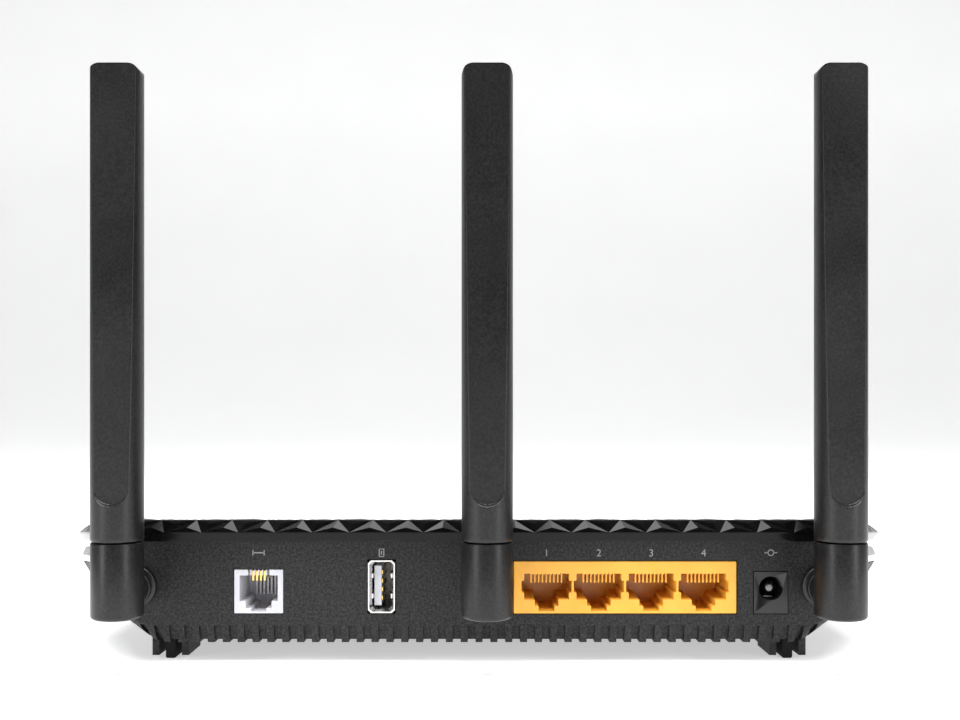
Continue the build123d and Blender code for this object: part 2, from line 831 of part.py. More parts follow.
with BuildPart() as status_lamps:
    with BuildSketch(Plane.XY.offset(board_top)):
        with Locations((0, led_y)):
            with GridLocations(led_pitch, 0, led_count, 1):
                Rectangle(led_size, led_size)
    extrude(amount=led_height)
save(status_lamps, "status_lamps")

with BuildPart() as light_guide:
    guide_low = board_top + led_height + guide_gap
    guide_high = slope_height(crest_height - window_thickness, led_y + guide_radius) - guide_gap
    with BuildSketch(Plane.XY.offset(guide_low)):
        with Locations((0, led_y)):
            with GridLocations(led_pitch, 0, led_count, 1):
                Circle(guide_radius - guide_gap)
    extrude(amount=guide_high - guide_low)
    with BuildSketch(Plane.XY.offset(guide_low + guide_radius)):
        with Locations((0, led_y)):
            Rectangle(led_pitch * led_count, 2 * guide_radius)
    extrude(amount=guide_radius)
save(light_guide, "light_guide")

# ---------------------------------------------------------------- side buttons
switch_face = board_half - switch_setback
power_x_face = side_wall(power_button_depth, button_axis_height) + button_proud
wireless_x_face = side_wall(wireless_button_depth, button_axis_height) + button_proud
switch_rows = {power_button_depth: power_button_travel, wireless_button_depth: wireless_button_travel}
switch_rows[reset_depth] = reset_travel


def stem(depth, start):
    """Stem of a side button, from its flange in to its switch."""
    with BuildSketch(side_plane(switch_face - switch_bite)) as section:
        with Locations((panel_y + depth, button_axis_height)):
            Rectangle(stem_length, stem_height)
    extrude(section.sketch, amount=start - switch_face + switch_bite)


def flange_place(depth, half_height):
    """Outer face of a flange that bears on the inside of the tray's slanted wall."""
    low = button_axis_height - half_height - flange_rim
    return side_wall(depth, low) - flange_setback


def side_button(depth, length, face):
    """Push button: a rounded cap with a flange inside the wall and a stem."""
    place = flange_place(depth, button_height / 2)
    with BuildSketch(side_plane(place)) as cap:
        with Locations((panel_y + depth, button_axis_height)):
            SlotOverall(length, button_height)
    extrude(cap.sketch, amount=face - place)
    fillet(edges().group_by(Axis.X)[-1], button_proud / 2)
    with BuildSketch(side_plane(place - flange_thickness)) as flange:
        with Locations((panel_y + depth, button_axis_height)):
            SlotOverall(length + 2 * flange_rim, button_height + 2 * flange_rim)
    extrude(flange.sketch, amount=flange_thickness)
    stem(depth, place - flange_thickness)


with BuildPart() as power_button:
    side_button(power_button_depth, power_button_length, power_x_face)
save(power_button, "power_button")

with BuildPart() as wireless_button:
    side_button(wireless_button_depth, wireless_button_length, wireless_x_face)
save(wireless_button, "wireless_button")

with BuildPart() as reset_button:
    reset_face = flange_place(reset_depth, reset_radius)
    with BuildSketch(side_plane(reset_face - 2 * reset_radius)):
        with Locations((panel_y + reset_depth, button_axis_height)):
            Circle(reset_radius)
    extrude(amount=2 * reset_radius)
    stem(reset_depth, reset_face - 2 * reset_radius)
save(reset_button, "reset_button")

with BuildPart() as button_switches:
    for depth, travel in switch_rows.items():
        board_box(switch_face - switch_width / 2, depth, switch_width, switch_length, switch_height)
        with BuildSketch(side_plane(switch_face - switch_bite - travel - button_gap)):
            with Locations((panel_y + depth, button_axis_height)):
                Rectangle(stem_length + 2 * button_gap, stem_height + 2 * button_gap)
        extrude(amount=switch_width, mode=Mode.SUBTRACT)
save(button_switches, "button_switches")

# ---------------------------------------------------------------- antennas
shaft_tip = shaft_end - panel_y
clip_depth = clip_y - panel_y
socket_top = barrel_seam + seam_gap + socket_length
flat_tilt = atan((flat_low_offset - flat_high_offset) / (antenna_height - flat_low))
antenna_sockets = []


def round_section(x, radius, hole=0.0):
    """Disc or ring on an antenna's barrel axis."""
    with Locations((x, barrel_y)):
        Circle(radius)
        if hole:
            Circle(hole, mode=Mode.SUBTRACT)


def hub_section(x, radius, hole=0.0):
    """Disc or ring on the axis about which an antenna swings."""
    with Locations((x, hub_height)):
        Circle(radius)
        if hole:
            Circle(hole, mode=Mode.SUBTRACT)


def flat_plane(x, side):
    """Flat face of a blade: side is -1 on its rear and 1 on its front."""
    return Plane(
        origin=(x, barrel_y + side * flat_low_offset, flat_low),
        x_dir=(-side, 0, 0),
        z_dir=(0, side * cos(flat_tilt), sin(flat_tilt)),
    )


for side, x in antenna_places.items():
    with BuildPart() as knuckle:
        with BuildSketch(Plane.XY.offset(barrel_low)):
            round_section(x, barrel_radius)
        extrude(amount=barrel_seam - barrel_low)
        fillet(edges().group_by(Axis.Z)[0], barrel_round)
        with BuildSketch(rear_plane(-hub_reach)):
            hub_section(x, neck_radius)
        extrude(amount=-(hub_reach - hub_lift))
        with BuildSketch(rear_plane(-hub_lift - hub_thickness)):
            hub_section(x, hub_radius)
        extrude(amount=-hub_thickness)
        with BuildSketch(rear_plane(-hub_lift)):
            hub_section(x, shaft_radius)
        extrude(amount=-(hub_lift + shaft_tip))
        with BuildSketch(rear_plane(clip_depth)):
            hub_section(x, bearing_radius, groove_radius)
        extrude(amount=-clip_thickness, mode=Mode.SUBTRACT)
        with BuildSketch(rear_plane(-hub_reach)):
            hub_section(x, lead_bore)
        extrude(amount=-(hub_reach + shaft_tip), mode=Mode.SUBTRACT)
        with BuildSketch(Plane.XY.offset(hub_height - lead_bore)):
            round_section(x, lead_bore)
        extrude(amount=barrel_seam - hub_height + lead_bore, mode=Mode.SUBTRACT)
        with BuildSketch(Plane.XY.offset(spigot_low - collar_gap)):
            round_section(x, spigot_collar + collar_gap)
        extrude(amount=collar_height + 2 * collar_gap, mode=Mode.SUBTRACT)
        with BuildSketch(Plane.XY.offset(spigot_low)):
            round_section(x, spigot_radius + running_gap)
        extrude(amount=barrel_seam - spigot_low, mode=Mode.SUBTRACT)
    save(knuckle, f"antenna_knuckle_{side}")

    with BuildPart() as clip:
        with BuildSketch(rear_plane(clip_depth)):
            hub_section(x, clip_radius, groove_radius)
            with Locations((x, hub_height)):
                Rectangle(groove_radius, 2 * clip_radius, align=(Align.CENTER, Align.MIN), mode=Mode.SUBTRACT)
        extrude(amount=-clip_thickness)
    save(clip, f"antenna_clip_{side}")

    with BuildPart() as pivot:
        with BuildSketch(Plane.XY.offset(spigot_low)):
            round_section(x, spigot_radius, spigot_bore)
        extrude(amount=socket_top - spigot_low)
        with BuildSketch(Plane.XY.offset(spigot_low)):
            round_section(x, spigot_collar, spigot_bore)
        extrude(amount=collar_height)
    save(pivot, f"antenna_pivot_{side}")

    with BuildPart() as blade:
        with BuildSketch(Plane.XY.offset(barrel_seam + seam_gap)):
            round_section(x, barrel_radius)
        extrude(amount=antenna_height - barrel_seam - seam_gap)
        with BuildSketch(Plane(origin=(x, barrel_y, 0), x_dir=(1, 0, 0), z_dir=(0, -1, 0))):
            with Locations((0, antenna_height / 2)):
                Rectangle(2 * barrel_radius, antenna_height)
            fillet(vertices().group_by(Axis.Y)[-1], blade_corner_radius)
        extrude(amount=2 * barrel_radius, both=True, mode=Mode.INTERSECT)
        for face in (-1, 1):
            reach = antenna_height - flat_low
            with BuildSketch(flat_plane(x, face)):
                with BuildLine():
                    Polyline(
                        (-flat_round, flat_round),
                        (-barrel_radius, reach),
                        (barrel_radius, reach),
                        (flat_round, flat_round),
                    )
                    ThreePointArc((flat_round, flat_round), (0, 0), (-flat_round, flat_round))
                make_face()
            extrude(amount=barrel_radius, mode=Mode.SUBTRACT)
        with BuildSketch(Plane.XY.offset(barrel_seam + seam_gap)):
            round_section(x, spigot_radius)
        extrude(amount=socket_length, mode=Mode.SUBTRACT)
        with BuildSketch(Plane.XY.offset(socket_top)):
            with Locations((x, barrel_y)):
                Rectangle(cavity_width, cavity_depth)
        extrude(amount=antenna_height - socket_top - blade_wall, mode=Mode.SUBTRACT)
    save(blade, f"antenna_blade_{side}")

    with BuildPart() as element:
        with BuildSketch(Plane.XY.offset(socket_top)):
            with Locations((x, barrel_y)):
                Rectangle(element_width, element_thickness)
        extrude(amount=antenna_height - socket_top - blade_wall - element_margin)
    save(element, f"antenna_element_{side}")

    with BuildPart() as inner_lead:
        with BuildLine():
            FilletPolyline(
                (x, shaft_end, hub_height),
                (x, barrel_y, hub_height),
                (x, barrel_y, socket_top),
                radius=lead_bend,
            )
        with BuildSketch(rear_plane(shaft_tip)):
            hub_section(x, lead_radius)
        sweep()
    save(inner_lead, f"antenna_lead_{side}")

    with BuildPart() as board_lead:
        drop = hub_height - board_top - socket_height / 2
        run = shaft_end + lead_run
        fall = run + 2 * drop
        end = fall + lead_run
        with BuildLine():
            FilletPolyline(
                (x, shaft_end, hub_height),
                (x, run, hub_height),
                (x, fall, hub_height - drop),
                (x, end, hub_height - drop),
                radius=lead_run,
            )
        with BuildSketch(rear_plane(shaft_tip)):
            hub_section(x, lead_radius)
        sweep()
    save(board_lead, f"board_lead_{side}")
    antenna_sockets.append((x, end + socket_radius))

with BuildPart() as lead_sockets:
    with BuildSketch(Plane.XY.offset(board_top)):
        with Locations(*antenna_sockets):
            Circle(socket_radius)
    extrude(amount=socket_height)
save(lead_sockets, "lead_sockets")
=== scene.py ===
import bpy
import bmesh
import json
import math
import numpy as np
from mathutils import Matrix, Vector
from mathutils.geometry import delaunay_2d_cdt

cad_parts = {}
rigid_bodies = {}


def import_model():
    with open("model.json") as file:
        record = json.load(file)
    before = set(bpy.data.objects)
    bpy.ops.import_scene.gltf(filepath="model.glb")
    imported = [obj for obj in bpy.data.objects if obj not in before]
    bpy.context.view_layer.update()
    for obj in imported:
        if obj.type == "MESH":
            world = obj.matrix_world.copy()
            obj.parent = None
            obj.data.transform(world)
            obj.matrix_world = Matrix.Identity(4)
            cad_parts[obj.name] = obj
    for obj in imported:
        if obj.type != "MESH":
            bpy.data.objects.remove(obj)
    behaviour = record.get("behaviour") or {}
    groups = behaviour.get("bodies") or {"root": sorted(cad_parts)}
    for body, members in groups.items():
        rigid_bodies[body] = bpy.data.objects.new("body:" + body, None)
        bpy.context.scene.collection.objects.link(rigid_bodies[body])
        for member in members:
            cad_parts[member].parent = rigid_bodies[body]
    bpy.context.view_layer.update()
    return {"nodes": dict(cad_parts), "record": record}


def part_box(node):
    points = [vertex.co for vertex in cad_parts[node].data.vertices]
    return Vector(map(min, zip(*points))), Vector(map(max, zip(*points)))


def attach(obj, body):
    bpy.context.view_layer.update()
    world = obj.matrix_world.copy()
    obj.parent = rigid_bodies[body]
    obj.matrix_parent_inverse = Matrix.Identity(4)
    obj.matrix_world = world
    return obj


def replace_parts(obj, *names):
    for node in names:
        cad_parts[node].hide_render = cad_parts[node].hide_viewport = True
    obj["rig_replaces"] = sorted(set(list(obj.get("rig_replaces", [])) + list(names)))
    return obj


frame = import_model()
mm = 0.001
slotOf = {part["node"]: part["material_slot"] for part in frame["record"]["subparts"]}
print("frame loaded:", len(frame["nodes"]), "nodes")
bodyOf = {}
for body, nodes in frame["record"]["behaviour"]["bodies"].items():
    bodyOf.update({node: body for node in nodes})
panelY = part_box("rear_panel")[0].y  # rear face of the panel


def middleOf(node):
    # middle of the node's box, in metres
    return [(low + high) / 2 for low, high in zip(*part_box(node))]


def addPiece(name, mesh, body, slotName, material=None, replaced=(), sharp=35):
    # a mesh becomes a piece on a body, shaded smooth where faces meet at less than the sharp angle
    piece = bpy.data.objects.new(name, mesh)
    bpy.context.scene.collection.objects.link(piece)
    mesh.materials.clear()
    mesh.materials.append(finish[slotName] if material is None else material)
    if sharp:
        mesh.shade_smooth()
        mesh.set_sharp_from_angle(angle=math.radians(sharp))
    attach(piece, body)
    if replaced:
        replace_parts(piece, *replaced)
    return piece


def addShells(name, shells, body, slotName, **more):
    return addPiece(name, meshFromShells(name, shells), body, slotName, **more)


def signedVolume(verts, faces):
    # sum of the tetrahedra from the origin to each face's fan of triangles
    fans = [(f[0], f[k], f[k + 1]) for f in faces for k in range(1, len(f) - 1)]
    a, b, c = (verts[corner] for corner in np.array(fans).T)
    return np.einsum("ij,ij->i", a, np.cross(b, c)).sum() / 6


def gridFaces(rows, cols, closed):
    # quads between neighbouring points of a grid, wrapped along its columns if closed
    index = np.arange(rows * cols).reshape(rows, cols)
    left = index if closed else index[:, :-1]
    right = np.roll(index, -1, axis=1) if closed else index[:, 1:]
    return np.stack([left[:-1], right[:-1], right[1:], left[1:]], axis=-1).reshape(-1, 4).tolist()


def meshFromShells(name, shells):
    # shells of (points, faces) joined into one mesh, each turned over if its volume is negative
    allVerts, allFaces, start = [], [], 0
    for verts, faces in shells:
        if signedVolume(verts, faces) < 0:
            faces = [f[::-1] for f in faces]
        allVerts.append(verts)
        allFaces += [[i + start for i in f] for f in faces]
        start += len(verts)
    mesh = bpy.data.meshes.new(name)
    mesh.from_pydata(np.concatenate(allVerts).tolist(), [], allFaces)
    mesh.update()
    return mesh


def tubeShell(points):
    # a closed profile (columns) carried along a path (rows), with a flat cap at each end
    rows, cols = points.shape[:2]
    faces = gridFaces(rows, cols, True)
    last = (rows - 1) * cols
    faces.append(list(range(cols))[::-1])
    faces.append(list(range(last, last + cols)))
    return points.reshape(-1, 3), faces


def turnedShell(profile, centre, axis, steps=96):
    # a profile of (radius, distance) turned about an axis: radius cos(angle) and radius sin(angle)
    angle = np.linspace(0, 2 * np.pi, steps, endpoint=False)
    radius, along = np.array(profile).T
    points = np.zeros((len(radius), steps, 3))
    first, second = [k for k in range(3) if k != axis]
    points[..., first] = np.outer(radius, np.cos(angle))
    points[..., second] = np.outer(radius, np.sin(angle))
    points[..., axis] = along[:, None]
    return tubeShell(points + np.array(centre))


def newMaterial(name):
    material = bpy.data.materials.new(name)
    material.use_nodes = True
    nodes, links = material.node_tree.nodes, material.node_tree.links
    place = nodes.new("ShaderNodeTexCoord").outputs["Object"]
    return material, nodes, links, nodes["Principled BSDF"], place


def grain(nodes, links, place, scale, detail=3.0, stretch=(1, 1, 1)):
    mapping = nodes.new("ShaderNodeMapping")
    mapping.inputs["Scale"].default_value = stretch
    links.new(place, mapping.inputs["Vector"])
    noise = nodes.new("ShaderNodeTexNoise")
    noise.inputs["Scale"].default_value = scale
    noise.inputs["Detail"].default_value = detail
    links.new(mapping.outputs["Vector"], noise.inputs["Vector"])
    return noise.outputs["Fac"]


def ramp(nodes, links, value, low, high, lowColour, highColour):
    # colour runs from one to the other as the value goes from low to high
    blend = nodes.new("ShaderNodeValToRGB")
    ends = blend.color_ramp.elements
    for end, position, colour in ((ends[0], low, lowColour), (ends[1], high, highColour)):
        end.position = position
        end.color = (*colour, 1)
    links.new(value, blend.inputs["Fac"])
    return blend.outputs["Color"]


def spread(nodes, links, value, low, high):
    # noise stays mostly within 0.3 to 0.7, which is stretched to run from low to high
    span = nodes.new("ShaderNodeMapRange")
    span.inputs["From Min"].default_value = 0.3
    span.inputs["From Max"].default_value = 0.7
    span.inputs["To Min"].default_value = low
    span.inputs["To Max"].default_value = high
    links.new(value, span.inputs["Value"])
    return span.outputs["Result"]


def bump(nodes, links, height, distance, strength, shader):
    node = nodes.new("ShaderNodeBump")
    node.inputs["Distance"].default_value = distance * mm
    node.inputs["Strength"].default_value = strength
    links.new(height, node.inputs["Height"])
    links.new(node.outputs["Normal"], shader.inputs["Normal"])


def mouldedPlastic(name, dark, light, rough, grainScale, grainDepth, specular=0.5):
    # fine spark-eroded grain in tone and bumps, with slow changes of gloss
    material, nodes, links, shader, place = newMaterial(name)
    fine = grain(nodes, links, place, grainScale, 2.0)
    slow = grain(nodes, links, place, 45.0)
    tone = ramp(nodes, links, fine, 0.35, 0.75, dark, light)
    links.new(tone, shader.inputs["Base Color"])
    gloss = spread(nodes, links, slow, rough - 0.05, rough + 0.06)
    links.new(gloss, shader.inputs["Roughness"])
    shader.inputs["Specular IOR Level"].default_value = specular
    bump(nodes, links, fine, grainDepth, 0.6, shader)
    return material


def polishedPlastic(name, dark, light, rough, subsurface=0.0):
    # smooth moulding with faint flow marks
    material, nodes, links, shader, place = newMaterial(name)
    slow = grain(nodes, links, place, 160.0, 4.0)
    links.new(ramp(nodes, links, slow, 0.3, 0.7, dark, light), shader.inputs["Base Color"])
    links.new(spread(nodes, links, slow, rough * 0.8, rough * 1.3), shader.inputs["Roughness"])
    shader.inputs["Subsurface Weight"].default_value = subsurface
    shader.inputs["Subsurface Radius"].default_value = (0.002, 0.001, 0.0006)
    bump(nodes, links, slow, 0.01, 0.3, shader)
    return material


def metalFinish(name, dark, light, rough, brush):
    # metal with fine lines, drawn out along the directions where brush is smallest
    material, nodes, links, shader, place = newMaterial(name)
    lines = grain(nodes, links, place, 900.0, 3.0, brush)
    links.new(ramp(nodes, links, lines, 0.3, 0.7, dark, light), shader.inputs["Base Color"])
    links.new(spread(nodes, links, lines, rough * 0.75, rough * 1.3), shader.inputs["Roughness"])
    shader.inputs["Metallic"].default_value = 1.0
    bump(nodes, links, lines, 0.008, 0.35, shader)
    return material


def clearPlastic(name, colour, rough, transmission):
    material, nodes, links, shader, place = newMaterial(name)
    slow = grain(nodes, links, place, 220.0)
    shader.inputs["Base Color"].default_value = (*colour, 1)
    shader.inputs["Transmission Weight"].default_value = transmission
    shader.inputs["IOR"].default_value = 1.49
    links.new(spread(nodes, links, slow, rough, rough * 2), shader.inputs["Roughness"])
    bump(nodes, links, slow, 0.01, 0.2, shader)
    return material


alongY, aroundZ = (1, 0.1, 1), (1, 1, 6)  # directions of the fine lines on metal
finish = {
    "cover_gloss": mouldedPlastic(
        "coverGloss", (0.0015, 0.0015, 0.0016), (0.003, 0.003, 0.0032),
        rough=0.2, grainScale=900, grainDepth=0.002, specular=0.16,
    ),
    "housing_black": mouldedPlastic(
        "housingBlack", (0.004, 0.004, 0.0042), (0.034, 0.034, 0.0345),
        rough=0.52, grainScale=1700, grainDepth=0.05, specular=0.25,
    ),
    "antenna_black": mouldedPlastic(
        "antennaBlack", (0.002, 0.002, 0.0022), (0.012, 0.012, 0.0125),
        rough=0.36, grainScale=1700, grainDepth=0.05, specular=0.4,
    ),
    "button_black": mouldedPlastic(
        "buttonBlack", (0.005, 0.005, 0.0052), (0.012, 0.012, 0.0122),
        rough=0.35, grainScale=2400, grainDepth=0.02,
    ),
    "foot_rubber": mouldedPlastic(
        "footRubber", (0.004, 0.004, 0.004), (0.008, 0.008, 0.008),
        rough=0.75, grainScale=1500, grainDepth=0.02, specular=0.2,
    ),
    "silver_trim": metalFinish(
        "silverTrim", (0.4, 0.4, 0.41), (0.52, 0.52, 0.53), rough=0.3, brush=(0.2, 0.2, 3)
    ),
    "socket_yellow": polishedPlastic(
        "socketYellow", (0.74, 0.34, 0.03), (0.8, 0.39, 0.045), rough=0.35
    ),
    "socket_white": polishedPlastic("socketWhite", (0.5, 0.5, 0.54), (0.56, 0.56, 0.6), rough=0.3),
    "socket_black": polishedPlastic(
        "socketBlack", (0.004, 0.004, 0.004), (0.009, 0.009, 0.009), rough=0.35
    ),
    "chip_black": polishedPlastic("chipBlack", (0.02, 0.02, 0.021), (0.04, 0.04, 0.04), rough=0.5),
    "board_green": polishedPlastic(
        "boardGreen", (0.012, 0.09, 0.04), (0.02, 0.14, 0.06), rough=0.3
    ),
    "pad_grey": polishedPlastic("padGrey", (0.3, 0.31, 0.33), (0.38, 0.4, 0.42), rough=0.7),
    "capacitor_can": polishedPlastic(
        "capacitorCan", (0.03, 0.03, 0.06), (0.06, 0.06, 0.1), rough=0.3
    ),
    "lamp_white": polishedPlastic(
        "lampWhite", (0.8, 0.8, 0.72), (0.9, 0.9, 0.85), rough=0.2, subsurface=0.2
    ),
    "lead_grey": polishedPlastic("leadGrey", (0.18, 0.18, 0.19), (0.26, 0.26, 0.27), rough=0.5),
    "screw_steel": metalFinish(
        "screwSteel", (0.12, 0.12, 0.125), (0.2, 0.2, 0.205), rough=0.4, brush=aroundZ
    ),
    "plated_steel": metalFinish(
        "platedSteel", (0.58, 0.57, 0.55), (0.74, 0.73, 0.71), rough=0.26, brush=alongY
    ),
    "contact_gold": metalFinish(
        "contactGold", (0.72, 0.46, 0.12), (0.88, 0.62, 0.2), rough=0.22, brush=alongY
    ),
    "sink_aluminium": metalFinish(
        "sinkAluminium", (0.5, 0.5, 0.51), (0.62, 0.62, 0.63), rough=0.4, brush=alongY
    ),
    "smoked_window": clearPlastic(
        "smokedWindow", (0.05, 0.05, 0.055), rough=0.05, transmission=0.4
    ),
    "clear_guide": clearPlastic("clearGuide", (0.9, 0.92, 0.94), rough=0.08, transmission=0.9),
}
# painted shade: a darker copy of the plated steel, so that the power socket's pin and contact read
# as shaded inside the socket
shadedPinSteel = metalFinish(
    "shadedPinSteel", (0.16, 0.16, 0.16), (0.26, 0.26, 0.26), rough=0.4, brush=alongY
)
inkWhite = polishedPlastic("inkWhite", (0.2, 0.2, 0.205), (0.26, 0.26, 0.265), rough=0.6)
print("materials made:", len(finish))


coverShape = {
    "halfWidth": 115.0,
    "slope": 0.1072,  # fall towards the front, in radians
    "flatMargin": 13.0,  # widest point to the end of the straight rear edge
    "cornerReach": 24.0,  # how far the slanted rear corners run forward
    "cornerRadii": (8, 20, 26),  # rear, shoulder, front
    "facetPitch": 10.0,
    "facetRow": 0.866,  # step between rows, as a share of the pitch
    "facetStart": 6.0,
    "facetHeights": (0.85, 0.15, 0.5),  # of the three corners of every triangle
    "facetPoint": 0.42,  # height of a facet's middle over its corners
    "bandPoint": 0.42,
    "edgeClear": 0.55,  # lattice kept off the crest and the slot, as shares of the pitch
    "slotClear": 0.3,
    "edgeLift": 0.85,
    "crest": 37.5,
    "crestInset": 4.2,
    "crestRear": -0.9,
    "crestCorners": 72,
    "ridgeSteps": 8,  # points of the ridge for each corner of the crest
    "overhang": 3.0,  # ridge beyond the panel
    "rimProfile": ((0.0, 35.05), (0.02, 34.7), (1.0, 32.95), (1.3, 32.65)),  # (inset, height)
    "lipInset": 2.9,
    "lipLow": 32.65,
    "wallInset": 6.6,
    "wallRear": -0.15,
    "wall": 2.0,
    "slotLength": 64.3,
    "slotWidth": 3.9,
    "skirtInset": 4.6,
    "skirtWall": 1.8,
    "skirtLow": 26.85,
    "skirtOverlap": 0.1,
    "skirtStart": 10.0,  # rear end of the skirt, in front of the panel
}
frontReach = (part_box("top_cover")[1].y - panelY) / mm
slotDepth = middleOf("status_window")[1] - panelY


def roundedLoop(corners, radii, count):
    # closed outline with each corner rounded by an arc, then cut into equal steps of length
    arcs = []
    neighbours = zip(corners, np.roll(corners, 1, 0), np.roll(corners, -1, 0), radii)
    for here, before, after, radius in neighbours:
        back = (before - here) / np.linalg.norm(before - here)
        ahead = (after - here) / np.linalg.norm(after - here)
        halfTurn = math.acos(np.clip(back @ ahead, -1, 1)) / 2
        middle = (back + ahead) / np.linalg.norm(back + ahead)
        centre = here + middle * radius / math.sin(halfTurn)
        start = here + back * radius / math.tan(halfTurn) - centre
        end = here + ahead * radius / math.tan(halfTurn) - centre
        turn = math.atan2(start[0] * end[1] - start[1] * end[0], start @ end)
        angle = math.atan2(start[1], start[0]) + np.linspace(0, turn, 24)
        arcs.append(centre + radius * np.stack([np.cos(angle), np.sin(angle)], axis=-1))
    # the outline starts halfway along the edge before its first corner
    start = (arcs[-1][-1:] + arcs[0][:1]) / 2
    line = np.concatenate([start, *arcs, start])
    travelled = np.r_[0, np.cumsum(np.linalg.norm(np.diff(line, axis=0), axis=1))]
    wanted = np.arange(count) * travelled[-1] / count
    return np.stack([np.interp(wanted, travelled, line[:, k]) for k in range(2)], axis=-1)


def bodyLoop(inset, rear, count):
    # the plan, set in from its widest: flat rear, slanted rear corners, round front
    c = coverShape
    half, front = c["halfWidth"] - inset, frontReach - inset
    flat, shoulder = half - c["flatMargin"], rear + c["cornerReach"]
    corners = [(flat, rear), (half, shoulder), (half, front)]
    corners += [(-x, depth) for x, depth in corners[::-1]]
    radii = [*c["cornerRadii"], *c["cornerRadii"][::-1]]
    return roundedLoop(np.array(corners) * mm, np.array(radii) * mm, count)


def slotOutline():
    # a slot with round ends, in plan: two half circles of half its width
    c = coverShape
    radius, reach = c["slotWidth"] / 2 * mm, (c["slotLength"] - c["slotWidth"]) / 2 * mm
    angle = np.linspace(0, 2 * np.pi, 48, endpoint=False)
    end = np.where(np.cos(angle) >= 0, 1, -1)
    x, depth = end * reach + radius * np.cos(angle), slotDepth + radius * np.sin(angle)
    return np.stack([x, depth], axis=-1)


def onSlope(plan, height):
    # plan points (x, depth) put on a plane that falls forward: z = height - depth tan(slope)
    x, depth = plan[..., 0], plan[..., 1]
    fall = depth * math.tan(coverShape["slope"])
    return np.stack([x, panelY + depth, height * mm - fall], axis=-1)


def insideLoop(points, loop):
    # a point is inside when a ray from it crosses the loop an odd number of times
    a, b = loop[None], np.roll(loop, -1, 0)[None]
    x, y = points[:, None, 0], points[:, None, 1]
    crosses = (a[..., 1] > y) != (b[..., 1] > y)
    with np.errstate(divide="ignore", invalid="ignore"):
        reach = a[..., 0] + (y - a[..., 1]) / (b[..., 1] - a[..., 1]) * (b[..., 0] - a[..., 0])
    return (crosses & (x < reach)).sum(axis=1) % 2 == 1


def sheetBetween(outline, inner, hole):
    # flat triangles between an outline and a hole, through the inner points
    edges, start = [], 0
    for loop in (outline, hole):
        edges += [(start + i, start + (i + 1) % len(loop)) for i in range(len(loop))]
        start += len(loop)
    points = np.concatenate([outline, hole, inner]).tolist()
    made = delaunay_2d_cdt([Vector(p) for p in points], edges, [], 0, 1e-9)
    verts, tris = np.array([v[:] for v in made[0]]), np.array(made[2])
    centre = verts[tris].mean(axis=1)
    return verts, tris[insideLoop(centre, outline) & ~insideLoop(centre, hole)]


def facetLattice(crestLoop, slotLoop):
    # triangular lattice: every second row is moved on by half a pitch
    c, pitch = coverShape, coverShape["facetPitch"] * mm
    rows = np.arange(-2, int(frontReach * mm / (pitch * c["facetRow"])) + 2)
    across = int(c["halfWidth"] / c["facetPitch"]) + 3
    cols = np.arange(-across, across + 1)
    row, col = np.meshgrid(rows, cols, indexing="ij")
    depth = c["facetStart"] * mm + row * pitch * c["facetRow"]
    lattice = np.stack([(col + (row % 2) / 2) * pitch, depth], axis=-1).reshape(-1, 2)
    # three heights shared out so that every triangle has one corner of each
    kind = (col - row // 2 + row) % 3
    lift = np.array(c["facetHeights"])[kind].reshape(-1)
    edgeLoop = bodyLoop(c["crestInset"], c["crestRear"], 600)
    toEdge = np.linalg.norm(lattice[:, None] - edgeLoop[None], axis=2).min(axis=1)
    toSlot = np.linalg.norm(lattice[:, None] - slotLoop[None], axis=2).min(axis=1)
    keep = insideLoop(lattice, crestLoop) & ~insideLoop(lattice, slotLoop)
    keep &= (toEdge > c["edgeClear"] * pitch) & (toSlot > c["slotClear"] * pitch)
    return lattice[keep], lift[keep]


def raisedPoints(verts, loops, ends, height):
    # a point over the middle of each loop, pushed out along its normal, and triangles up to it
    a, b, c = (verts[ends[:, k]] for k in range(3))
    normal = np.cross(b - a, c - a)
    normal /= np.linalg.norm(normal, axis=1, keepdims=True)
    outward = np.sign(normal @ np.array([0, 0, 1.0]))[:, None]
    points = (a + b + c) / 3 + normal * outward * height
    tip = np.broadcast_to((len(verts) + np.arange(len(loops)))[:, None], loops.shape)
    return points, np.stack([loops, np.roll(loops, -1, axis=1), tip], axis=-1).reshape(-1, 3)


